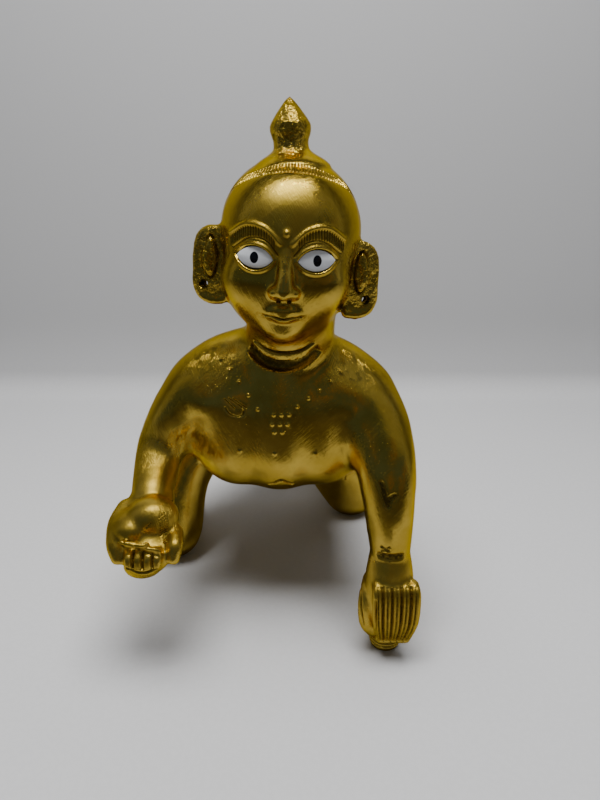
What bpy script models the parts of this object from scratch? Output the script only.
"""A crawling child figure cast in solid brass, holding a sweet ball, with two inlaid eyes.

The figure faces -Y and its own left side is towards +X. It kneels on both knees, leans on
its left fist and holds its right hand out over the ground. Lengths are in metres. The
casting's forms are written as shares of the figure's height, and the inlays, their
sockets and the ear holes have sizes of their own.
"""

import math

import bmesh
import bpy
import numpy as np
from mathutils import Euler, Matrix, Vector
from mathutils.bvhtree import BVHTree

# driving dimensions
FIGURE_HEIGHT = 0.140
EYE_LENGTH = 0.0086
EYE_OPENING = 0.0046
EYE_THICKNESS = 0.0017
EYE_PROUD = 0.0004
EYE_CLEARANCE = 0.0003
EAR_BORE = 0.0021

# fineness of the surface, as shares of the height
CORE_CELL = 0.0115
SKIN_CELL = 0.0060
CORE_SMOOTHING = 9
SKIN_SMOOTHING = 2
FIGURE_FACES = 8600

# places in the body, as shares of the height
MIDLINE = -0.040
HEAD = Vector((-0.022, -0.235, 0.765))
HEAD_ROLL = math.radians(3.0)
HEAD_TILT = math.radians(-3.0)
EAR_DROP = {-1: -0.026, 1: -0.040}
EAR_TURN = math.radians(18.0)
EAR_BORE_TURN = math.radians(12.0)
KNOT_LEAN = math.radians(-5.0)

BRASS_COLOUR = (0.72, 0.50, 0.11, 1.0)
ENAMEL_COLOUR = (0.86, 0.86, 0.87, 1.0)


def clear_scene():
    """Remove whatever the startup file holds."""
    for held in list(bpy.data.objects):
        bpy.data.objects.remove(held)


def material(name, colour, roughness, metallic):
    """A Principled material with plain values."""
    made = bpy.data.materials.new(name)
    made.use_nodes = True
    shader = made.node_tree.nodes["Principled BSDF"]
    shader.inputs["Base Color"].default_value = colour
    shader.inputs["Roughness"].default_value = roughness
    shader.inputs["Metallic"].default_value = metallic
    return made


def head_matrix():
    """The head's own frame: its origin in the middle of the head, in shares of the height."""
    turn = Euler((HEAD_TILT, HEAD_ROLL, 0.0)).to_matrix().to_4x4()
    return Matrix.Translation(HEAD) @ turn


def smooth_route(stations, steps=4):
    """Catmull-Rom curve through stations of any number of values."""
    rows = np.array(stations, float)
    if len(rows) < 3:
        share = np.linspace(0.0, 1.0, steps + 1)[:, None]
        return rows[0] * (1 - share) + rows[-1] * share
    ends = np.vstack([2 * rows[0] - rows[1], rows, 2 * rows[-1] - rows[-2]])
    route = []
    for before, start, stop, after in zip(ends, ends[1:], ends[2:], ends[3:]):
        for t in np.arange(steps) / steps:
            route.append(
                0.5 * (2 * start + (stop - before) * t
                       + (2 * before - 5 * start + 4 * stop - after) * t ** 2
                       + (3 * start - before - 3 * stop + after) * t ** 3)
            )
    return np.array(route + [rows[-1]])


def add_ball(bm, centre, radii, turn=(0.0, 0.0, 0.0)):
    """An ellipsoid."""
    made = bmesh.ops.create_uvsphere(bm, u_segments=28, v_segments=18, radius=1.0)
    place = (Matrix.Translation(centre) @ Euler([math.radians(a) for a in turn]).to_matrix().to_4x4()
             @ Matrix.Diagonal((*radii, 1.0)))
    bmesh.ops.transform(bm, matrix=place, verts=made["verts"])
    return made["verts"]


def add_limb(bm, stations, steps=4, flatten=1.0, sides=20):
    """A round tapering form through (x, y, z, radius) stations, with domed ends.

    flatten squeezes its sections along their second axis.
    """
    route = smooth_route(stations, steps)
    centres = [Vector(row[:3]) for row in route]
    radii = [float(row[3]) for row in route]
    start_way = (centres[1] - centres[0]).normalized()
    stop_way = (centres[-1] - centres[-2]).normalized()
    rings = []
    for angle in (80, 55, 28):
        lean = math.radians(angle)
        rings.append((centres[0] - start_way * radii[0] * math.sin(lean), radii[0] * math.cos(lean)))
    rings += list(zip(centres, radii))
    for angle in (28, 55, 80):
        lean = math.radians(angle)
        rings.append((centres[-1] + stop_way * radii[-1] * math.sin(lean), radii[-1] * math.cos(lean)))
    side = start_way.cross(Vector((0.0, 1.0, 0.0)))
    if side.length < 0.2:
        side = start_way.cross(Vector((1.0, 0.0, 0.0)))
    made = bmesh.ops.create_circle(bm, cap_ends=True, segments=sides, radius=1.0)
    verts = made["verts"]
    face = verts[0].link_faces[0]
    before = Matrix.Identity(4)
    everything = list(verts)
    for index, (centre, radius) in enumerate(rings):
        ahead = rings[min(index + 1, len(rings) - 1)][0] - rings[max(index - 1, 0)][0]
        way = ahead.normalized()
        side = (side - way * side.dot(way)).normalized()
        across = way.cross(side)
        frame = Matrix((side, across, way)).transposed().to_4x4()
        place = Matrix.Translation(centre) @ frame @ Matrix.Diagonal((radius, radius * flatten, 1.0, 1.0))
        if index:
            grown = bmesh.ops.extrude_face_region(bm, geom=[face])["geom"]
            verts = [item for item in grown if isinstance(item, bmesh.types.BMVert)]
            face = next(item for item in grown if isinstance(item, bmesh.types.BMFace))
            everything += verts
        bmesh.ops.transform(bm, matrix=place @ before.inverted(), verts=verts)
        before = place
    return everything


def placed(bm, place, draw):
    """Draw forms, then move them all together."""
    held = set(bm.verts)
    draw(bm)
    bmesh.ops.transform(bm, matrix=place, verts=[vert for vert in bm.verts if vert not in held])


def mesh_of(name, build):
    """Mesh made by build, which draws forms into a bmesh in shares of the height."""
    bm = bmesh.new()
    build(bm)
    bmesh.ops.recalc_face_normals(bm, faces=bm.faces)
    made = bpy.data.meshes.new(name)
    bm.to_mesh(made)
    bm.free()
    made.transform(Matrix.Scale(FIGURE_HEIGHT, 4))
    return made


def object_of(name, mesh):
    """Link a mesh into the scene as an object."""
    made = bpy.data.objects.new(name, mesh)
    bpy.context.collection.objects.link(made)
    return made


def settled(made, name):
    """Mesh of an object as its modifiers leave it, with the object itself removed."""
    graph = bpy.context.evaluated_depsgraph_get()
    mesh = bpy.data.meshes.new_from_object(made.evaluated_get(graph))
    mesh.name = name
    bpy.data.objects.remove(made)
    return mesh


def skinned(made, cell, smoothing, name):
    """Mesh of one skin laid round all the forms of an object, then eased."""
    remesh = made.modifiers.new("One skin", "REMESH")
    remesh.mode = "VOXEL"
    remesh.voxel_size = cell * FIGURE_HEIGHT
    remesh.use_smooth_shade = True
    ease = made.modifiers.new("Ease", "SMOOTH")
    ease.factor = 0.5
    ease.iterations = smoothing
    return settled(made, name)


def draw_trunk(bm):
    """Chest, belly, hips and neck."""
    add_limb(bm, [(MIDLINE, -0.182, 0.388, 0.116), (MIDLINE, -0.110, 0.377, 0.141),
                  (MIDLINE, -0.030, 0.352, 0.151), (MIDLINE, 0.070, 0.345, 0.142),
                  (MIDLINE, 0.170, 0.325, 0.135)])
    add_limb(bm, [(MIDLINE - 0.142, -0.175, 0.474, 0.090), (MIDLINE - 0.087, -0.168, 0.508, 0.090),
                  (MIDLINE, -0.160, 0.522, 0.088), (MIDLINE + 0.087, -0.168, 0.504, 0.088),
                  (MIDLINE + 0.142, -0.175, 0.468, 0.088)])
    for side in (-1, 1):
        add_ball(bm, (MIDLINE + side * 0.078, 0.225, 0.285), (0.092, 0.100, 0.105))
    add_limb(bm, [(MIDLINE, -0.145, 0.470, 0.105), (-0.026, -0.180, 0.545, 0.086),
                  (-0.015, -0.212, 0.640, 0.083)])
    for side in (-1, 1):
        add_limb(bm, [(MIDLINE + side * 0.086, -0.187, 0.470, 0.098),
                      (MIDLINE + side * 0.078, -0.186, 0.381, 0.098)])
        add_ball(bm, (MIDLINE + side * 0.122, -0.196, 0.478), (0.082, 0.082, 0.060))
    add_limb(bm, [(MIDLINE + 0.004, -0.180, 0.510, 0.104), (MIDLINE + 0.002, -0.181, 0.455, 0.113),
                  (MIDLINE, -0.182, 0.388, 0.116)])


def draw_arms(bm):
    """Upper arms and forearms, with the webs that join them to the flanks."""
    add_limb(bm, [(0.110, -0.184, 0.466, 0.085), (0.146, -0.236, 0.422, 0.070),
                  (0.162, -0.292, 0.365, 0.058), (0.168, -0.322, 0.290, 0.049),
                  (0.172, -0.335, 0.205, 0.040)])
    add_limb(bm, [(-0.193, -0.178, 0.466, 0.086), (-0.242, -0.186, 0.418, 0.068),
                  (-0.281, -0.195, 0.368, 0.050), (-0.284, -0.240, 0.335, 0.046),
                  (-0.282, -0.300, 0.310, 0.040)])
    add_ball(bm, (0.098, -0.188, 0.375), (0.048, 0.056, 0.072))
    add_ball(bm, (-0.168, -0.185, 0.380), (0.050, 0.056, 0.070))
    for side in (-1, 1):
        add_limb(bm, [(MIDLINE + side * 0.147, -0.150, 0.435, 0.078),
                      (MIDLINE + side * 0.140, -0.085, 0.352, 0.082),
                      (MIDLINE + side * 0.104, 0.040, 0.328, 0.100)])


def draw_legs(bm):
    """Thighs, knees and shins of both legs."""
    add_limb(bm, [(MIDLINE - 0.085, 0.170, 0.310, 0.104), (-0.225, 0.090, 0.285, 0.090),
                  (-0.294, 0.015, 0.200, 0.077), (-0.311, -0.034, 0.064, 0.071)])
    add_limb(bm, [(-0.310, -0.020, 0.062, 0.066), (-0.316, 0.080, 0.058, 0.056),
                  (-0.324, 0.185, 0.044, 0.040)])
    add_limb(bm, [(MIDLINE + 0.080, 0.190, 0.300, 0.108), (0.074, 0.185, 0.215, 0.101),
                  (0.114, 0.170, 0.130, 0.091), (0.140, 0.166, 0.070, 0.080)])
    add_limb(bm, [(0.138, 0.185, 0.064, 0.068), (0.118, 0.275, 0.058, 0.056),
                  (0.094, 0.355, 0.044, 0.040)])


def draw_skull(bm):
    """Skull, jaw and the flare under the topknot, in the head's frame."""
    add_ball(bm, (0.005, 0.012, 0.026), (0.123, 0.136, 0.125))
    add_ball(bm, (0.001, -0.004, -0.048), (0.113, 0.118, 0.108))
    for side in (-1, 1):
        add_ball(bm, (side * 0.050, -0.046, -0.050), (0.060, 0.064, 0.060))
    add_ball(bm, (0.0, -0.066, -0.126), (0.040, 0.036, 0.030))
    add_limb(bm, [(0.0, 0.010, 0.070, 0.088), (0.0, 0.008, 0.120, 0.058), (0.0, 0.006, 0.144, 0.034)])


def draw_core(bm):
    """The large forms, which run into each other with soft joins."""
    draw_trunk(bm)
    draw_arms(bm)
    draw_legs(bm)
    placed(bm, head_matrix(), draw_skull)


def draw_topknot(bm):
    """Turned spade-shaped knot with rings on its neck, about the Z axis."""
    profile = [(0.000, 0.238), (0.006, 0.2325), (0.016, 0.220), (0.027, 0.205), (0.0340, 0.194),
               (0.0345, 0.188), (0.0335, 0.181), (0.0310, 0.174), (0.0280, 0.169), (0.0305, 0.164),
               (0.0275, 0.159), (0.0315, 0.154), (0.040, 0.148), (0.054, 0.140), (0.066, 0.130),
               (0.000, 0.112)]
    corners = [bm.verts.new((radius, 0.0, height)) for radius, height in profile]
    edges = [bm.edges.new(pair) for pair in zip(corners, corners[1:])]
    held = set(bm.verts) - set(corners)
    bmesh.ops.spin(bm, geom=corners + edges, cent=(0, 0, 0), axis=(0, 0, 1),
                   angle=math.tau, steps=24, use_merge=True)
    made = [vert for vert in bm.verts if vert not in held]
    bmesh.ops.remove_doubles(bm, verts=made, dist=1e-5)


def knot_matrix():
    """The topknot's lean, in the head's frame."""
    foot = Matrix.Translation((0.0, 0.0, 0.150))
    return foot @ Matrix.Rotation(KNOT_LEAN, 4, "Y") @ foot.inverted()


def ear_matrix(side):
    """Frame of one ear: origin where its plate meets the head, X outwards for the left ear."""
    return Matrix.Translation((side * 0.112, -0.020, EAR_DROP[side])) @ Matrix.Rotation(EAR_TURN * side, 4, "Z")


def draw_ear(bm, side):
    """Square-shouldered ear: plate, rim, inner fold and pierced lobe, in its own frame."""
    add_limb(bm, [(side * 0.015, 0.0, 0.030, 0.027), (side * 0.015, 0.0, -0.046, 0.027)],
             flatten=0.40, sides=16)
    tall = [(0.004, 0.050), (0.021, 0.049), (0.036, 0.037), (0.042, 0.010), (0.042, -0.018),
            (0.043, -0.040), (0.034, -0.060), (0.014, -0.068), (-0.006, -0.066)]
    add_limb(bm, [(side * x, -0.005, z, 0.0085) for x, z in tall], steps=3, sides=12)
    add_limb(bm, [(side * 0.014, -0.011, 0.030, 0.0070), (side * 0.021, -0.014, 0.004, 0.0085),
                  (side * 0.016, -0.011, -0.020, 0.0065)], steps=3, sides=12)


def draw_nose(bm):
    """Straight nose with two soft wings."""
    add_limb(bm, [(0.0, -0.112, 0.006, 0.010), (0.0, -0.120, -0.022, 0.0105),
                  (0.0, -0.128, -0.046, 0.013), (0.0, -0.131, -0.060, 0.0145)], sides=16)
    for side in (-1, 1):
        add_ball(bm, (side * 0.0150, -0.121, -0.063), (0.0110, 0.013, 0.010))


def draw_lips(bm):
    """Calm closed lips."""
    add_limb(bm, [(-0.031, -0.103, -0.097, 0.0035), (-0.010, -0.113, -0.0925, 0.0065),
                  (0.0, -0.114, -0.0945, 0.0055), (0.010, -0.113, -0.0925, 0.0065),
                  (0.031, -0.103, -0.097, 0.0035)], sides=12)
    add_limb(bm, [(-0.026, -0.102, -0.100, 0.0035), (0.0, -0.109, -0.1065, 0.0080),
                  (0.026, -0.102, -0.100, 0.0035)], sides=12)


def draw_features(bm):
    """Topknot, ears, nose and mouth, in the head's frame."""
    placed(bm, knot_matrix(), draw_topknot)
    placed(bm, ear_matrix(-1), lambda drawn: draw_ear(drawn, -1))
    placed(bm, ear_matrix(1), lambda drawn: draw_ear(drawn, 1))
    draw_nose(bm)
    draw_lips(bm)


def draw_left_fist(bm):
    """Fist that carries the figure: back of the hand, four bent fingers, thumb and rest pad."""
    add_limb(bm, [(0.172, -0.335, 0.205, 0.040), (0.171, -0.348, 0.165, 0.046),
                  (0.171, -0.350, 0.110, 0.046), (0.170, -0.345, 0.055, 0.038)], flatten=0.86)
    for ridge in range(5):
        spread = ridge - 2.0
        add_limb(bm, [(0.179 + spread * 0.0172, -0.376, 0.166, 0.0098),
                      (0.179 + spread * 0.0176, -0.393, 0.152, 0.0112),
                      (0.179 + spread * 0.0162, -0.400, 0.100, 0.0112),
                      (0.179 + spread * 0.0120, -0.384, 0.044, 0.0090)], sides=12)
    add_limb(bm, [(0.137, -0.335, 0.150, 0.0150), (0.127, -0.358, 0.115, 0.0155),
                  (0.129, -0.366, 0.072, 0.0150), (0.142, -0.362, 0.044, 0.0120)], sides=12)
    add_limb(bm, [(0.170, -0.342, 0.045, 0.032), (0.170, -0.342, 0.018, 0.033)])


def draw_right_hand(bm):
    """Open right hand, palm up, with the sweet ball lying in it."""
    add_limb(bm, [(-0.282, -0.290, 0.310, 0.041), (-0.282, -0.325, 0.292, 0.048),
                  (-0.280, -0.365, 0.268, 0.054), (-0.274, -0.394, 0.252, 0.046)], flatten=0.66)
    for finger in range(4):
        spread = finger - 1.5
        add_limb(bm, [(-0.273 + spread * 0.0168, -0.396, 0.264, 0.0095),
                      (-0.273 + spread * 0.0168, -0.424, 0.2595, 0.0090),
                      (-0.274 + spread * 0.0160, -0.430, 0.246, 0.0080)], sides=12)
    add_limb(bm, [(-0.226, -0.372, 0.276, 0.0160), (-0.221, -0.402, 0.268, 0.0150),
                  (-0.223, -0.412, 0.250, 0.0120)], sides=12)
    add_limb(bm, [(-0.325, -0.322, 0.298, 0.0180), (-0.333, -0.360, 0.288, 0.0170),
                  (-0.328, -0.396, 0.268, 0.0170), (-0.322, -0.410, 0.250, 0.0135)], sides=12)
    add_ball(bm, (-0.302, -0.362, 0.288), (0.040, 0.046, 0.028))
    add_limb(bm, [(-0.312, -0.419, 0.288, 0.0046), (-0.243, -0.424, 0.2745, 0.0046)], sides=12)
    add_ball(bm, (-0.283, -0.394, 0.224), (0.036, 0.030, 0.022))
    add_ball(bm, (-0.268, -0.355, 0.300), (0.0475, 0.041, 0.0375))


def draw_foot(bm):
    """Foot lying on its instep, sole up, with five toes: heel at the origin, toes towards +Y."""
    add_limb(bm, [(0.0, -0.030, 0.018, 0.038), (0.0, 0.020, 0.016, 0.040),
                  (0.0, 0.060, 0.006, 0.034), (0.0, 0.088, -0.004, 0.028)], flatten=0.9)
    for toe in range(5):
        spread = toe - 2.0
        length = 0.122 - 0.004 * abs(spread + 1.2)
        add_limb(bm, [(spread * 0.0125, 0.085, -0.010, 0.0115),
                      (spread * 0.0140, length, -0.018, 0.0100)], sides=10)


def draw_details(bm):
    """The smaller forms, laid on the core."""
    placed(bm, head_matrix(), draw_features)
    draw_left_fist(bm)
    draw_right_hand(bm)
    for heel, turn in (((-0.324, 0.180, 0.027), 5.0), ((0.094, 0.350, 0.027), 14.0)):
        placed(bm, Matrix.Translation(heel) @ Matrix.Rotation(math.radians(turn), 4, "Z"), draw_foot)


def press(mesh, route, width, height):
    """Raise or sink the skin along a route of points, as a chaser's tool would.

    width is the half width and height the lift along the skin's normal, in metres. A
    negative height sinks the skin.
    """
    count = len(mesh.vertices)
    places = np.empty(count * 3)
    mesh.vertices.foreach_get("co", places)
    places = places.reshape(-1, 3)
    lifts = np.empty(count * 3)
    mesh.vertices.foreach_get("normal", lifts)
    lifts = lifts.reshape(-1, 3)
    nearest = np.full(count, np.inf)
    for start, stop in zip(route, route[1:]):
        way = stop - start
        share = np.clip((places - start) @ way / max(way @ way, 1e-12), 0.0, 1.0)
        apart = np.linalg.norm(places - start - share[:, None] * way, axis=1)
        nearest = np.minimum(nearest, apart)
    share = np.clip(nearest / width, 0.0, 1.0)
    places += lifts * (height * (1.0 - share ** 2) ** 2)[:, None]
    mesh.vertices.foreach_set("co", places.ravel())
    mesh.update()


class Surface:
    """Looks up places on the skin of a mesh."""

    def __init__(self, mesh):
        bm = bmesh.new()
        bm.from_mesh(mesh)
        self.tree = BVHTree.FromBMesh(bm)
        bm.free()

    def in_front(self, spot):
        """Place met by looking along +Y past a spot, or None."""
        start = Vector((spot.x, -FIGURE_HEIGHT, spot.z))
        return self.tree.ray_cast(start, Vector((0, 1, 0)))[0]

    def route(self, points, frame=Matrix.Identity(4)):
        """Points on the front of the skin, from (x, z) pairs of shares in a frame."""
        met = [self.in_front(frame @ Vector((x, 0.0, z)) * FIGURE_HEIGHT) for x, z in points]
        return [np.array(place) for place in met if place]


def almond(length, opening, points=14):
    """Outline of an eye, as (across, up) pairs, from two circular arcs."""
    half = length / 2
    rise = opening / 2
    radius = (half ** 2 + rise ** 2) / (2 * rise)
    outline = []
    for sign in (1, -1):
        for across in np.linspace(-half, half, points, endpoint=False) * sign:
            up = math.sqrt(radius ** 2 - across ** 2) - (radius - rise)
            outline.append((across, sign * up))
    return outline


EYE_ACROSS = 0.049
EYE_UP = -0.006


def eye_frame(surface, side):
    """Frame of one eye: origin on the skin, X along the lids, Z up and Y into the head."""
    frame = head_matrix()
    place = surface.in_front(frame @ Vector((side * EYE_ACROSS, 0.0, EYE_UP)) * FIGURE_HEIGHT)
    swing = Matrix.Rotation(math.radians(17.0) * side, 4, "Z")
    slant = Matrix.Rotation(math.radians(-4.0) * side, 4, "Y")
    return Matrix.Translation(place) @ frame.to_3x3().to_4x4() @ swing @ slant


def lens(name, grow, back, front, crown):
    """Almond-shaped solid between two depths, whose front is crowned.

    grow widens the outline all round. Depths run into the head.
    """
    bm = bmesh.new()
    outline = almond(EYE_LENGTH + 2 * grow, EYE_OPENING + 2 * grow)
    face = bm.faces.new([bm.verts.new((across, back, up)) for across, up in outline])
    sizes = [1.0, 0.85, 0.6, 0.3] if crown else [1.0]
    before = 1.0
    for index, size in enumerate(sizes):
        grown = bmesh.ops.extrude_face_region(bm, geom=[face])["geom"]
        verts = [item for item in grown if isinstance(item, bmesh.types.BMVert)]
        if index:
            bm.faces.remove(face)
        face = next(item for item in grown if isinstance(item, bmesh.types.BMFace))
        depth = front - crown * (1 - size ** 2)
        place = Matrix.Translation((0, depth, 0)) @ Matrix.Diagonal((size / before, 0, size / before, 1))
        bmesh.ops.transform(bm, matrix=place, verts=verts)
        before = size
    bmesh.ops.recalc_face_normals(bm, faces=bm.faces)
    made = bpy.data.meshes.new(name)
    bm.to_mesh(made)
    bm.free()
    return made


def chase_face(mesh, surface):
    """Brows and lids, raised on the skin round the eyes."""
    share = FIGURE_HEIGHT
    for side in (-1, 1):
        brow = [(side * x, z) for x, z in smooth_route(
            [(0.010, 0.020), (0.035, 0.040), (0.062, 0.045), (0.088, 0.030)])]
        press(mesh, surface.route(brow, head_matrix()), 0.010 * share, 0.0032 * share)
        frame = eye_frame(surface, side)
        outline = almond(EYE_LENGTH * 1.16, EYE_OPENING * 1.42)
        lids = [frame @ Vector((across, 0.0, up)) for across, up in outline + outline[:1]]
        laid = [np.array(surface.in_front(spot)) for spot in lids]
        press(mesh, laid, 0.0085 * share, 0.0040 * share)


def ring_neck(mesh):
    """Two folds pressed into the front of the neck."""
    share = FIGURE_HEIGHT
    surface = Surface(mesh)
    for height, reach in ((0.608, 0.060), (0.582, 0.066)):
        across = np.linspace(-reach, reach, 11)
        sag = 0.030 * (1 - (across / reach) ** 2)
        route = surface.route(zip(HEAD.x + across, height - sag))
        press(mesh, route, 0.0085 * share, -0.0060 * share)


def flute_fist(mesh):
    """Four flutes down the fist's fingers, and one along its thumb."""
    share = FIGURE_HEIGHT
    surface = Surface(mesh)
    for spread in (-1.5, -0.5, 0.5, 1.5):
        gap = [(0.179 + spread * 0.0176, 0.158), (0.179 + spread * 0.0162, 0.100),
               (0.179 + spread * 0.0125, 0.050)]
        press(mesh, surface.route(smooth_route(gap)), 0.0070 * share, -0.0065 * share)
    gap = [(0.1385, 0.145), (0.1390, 0.095), (0.1470, 0.050)]
    press(mesh, surface.route(smooth_route(gap)), 0.0085 * share, -0.0070 * share)


def cut_navel(mesh):
    """Small crescent under the belly."""
    share = FIGURE_HEIGHT
    surface = Surface(mesh)
    across = np.linspace(-0.018, 0.018, 7)
    rise = 0.008 * (1 - (across / 0.018) ** 2)
    route = surface.route(zip(MIDLINE + across, 0.272 + rise))
    press(mesh, route, 0.0080 * share, -0.0050 * share)


def casting_mesh():
    """The whole casting, before its sockets, holes and footing are cut."""
    core = object_of("core", mesh_of("core", draw_core))
    core_mesh = skinned(core, CORE_CELL, CORE_SMOOTHING, "core skin")
    details = mesh_of("details", draw_details)
    bm = bmesh.new()
    bm.from_mesh(core_mesh)
    bmesh.ops.subdivide_edges(bm, edges=bm.edges, cuts=1, use_grid_fill=True, smooth=0.0)
    bmesh.ops.smooth_vert(bm, verts=bm.verts, factor=0.5, use_axis_x=True, use_axis_y=True,
                          use_axis_z=True)
    bm.from_mesh(details)
    joined = bpy.data.meshes.new("casting")
    bm.to_mesh(joined)
    bm.free()
    mesh = skinned(object_of("forms", joined), SKIN_CELL, SKIN_SMOOTHING, "casting")
    surface = Surface(mesh)
    chase_face(mesh, surface)
    ring_neck(mesh)
    flute_fist(mesh)
    cut_navel(mesh)
    return mesh, surface


def cutter(name, mesh, place):
    """Hidden solid for a Boolean."""
    made = object_of(name, mesh)
    made.matrix_world = place
    made.hide_render = True
    made.display_type = "WIRE"
    return made


def cut(target, tool):
    """Take a tool out of a target."""
    boolean = target.modifiers.new("Cut " + tool.name, "BOOLEAN")
    boolean.operation = "DIFFERENCE"
    boolean.object = tool


def ear_drill(side):
    """Drill for the hole through one ear lobe, front to back."""
    bm = bmesh.new()
    length = 0.12 * FIGURE_HEIGHT
    bmesh.ops.create_cone(bm, cap_ends=True, segments=16, radius1=EAR_BORE / 2,
                          radius2=EAR_BORE / 2, depth=length)
    mesh = bpy.data.meshes.new("ear drill")
    bm.to_mesh(mesh)
    bm.free()
    place = head_matrix() @ ear_matrix(side) @ Matrix.Translation((side * 0.025, 0.0, -0.041))
    place.translation *= FIGURE_HEIGHT
    place @= Matrix.Rotation(EAR_BORE_TURN * side, 4, "Z")
    return mesh, place @ Matrix.Rotation(math.radians(90), 4, "X")


def ground_block():
    """Block under z = 0, which cuts flat whatever the figure rests on."""
    bm = bmesh.new()
    side = 3 * FIGURE_HEIGHT
    bmesh.ops.create_cube(bm, size=side)
    mesh = bpy.data.meshes.new("ground")
    bm.to_mesh(mesh)
    bm.free()
    return mesh, Matrix.Translation((0, 0, -side / 2))


def build():
    """Make the casting and the two eyes, standing on z = 0 with the box centred on the origin."""
    clear_scene()
    brass = material("brass", BRASS_COLOUR, 0.25, 1.0)
    enamel = material("enamel", ENAMEL_COLOUR, 0.15, 0.0)
    mesh, surface = casting_mesh()
    points = np.array([vertex.co for vertex in mesh.vertices])
    low, high = points.min(axis=0), points.max(axis=0)
    shift = Matrix.Translation((-(low[0] + high[0]) / 2, -(low[1] + high[1]) / 2, 0.0))

    mesh.transform(shift)
    mesh.materials.append(brass)
    figure = object_of("figure", mesh)
    fewer = figure.modifiers.new("Fewer faces", "DECIMATE")
    fewer.ratio = FIGURE_FACES / (2 * len(mesh.polygons))
    cut(figure, cutter("ground", *ground_block()))
    socket_depth = EYE_THICKNESS - EYE_PROUD + EYE_CLEARANCE
    for side, name in ((1, "left"), (-1, "right")):
        frame = shift @ eye_frame(surface, side)
        socket = lens(name + " socket", EYE_CLEARANCE, socket_depth, -6 * EYE_PROUD, 0.0)
        cut(figure, cutter(name + " socket", socket, frame))
        drill, place = ear_drill(side)
        cut(figure, cutter(name + " drill", drill, shift @ place))
        inlay = object_of(name + "_eye_inlay",
                          lens(name + " inlay", 0.0, EYE_THICKNESS - EYE_PROUD, 0.0, EYE_PROUD))
        inlay.data.materials.append(enamel)
        inlay.matrix_world = frame
    return shift


if __name__ == "__main__":
    build()
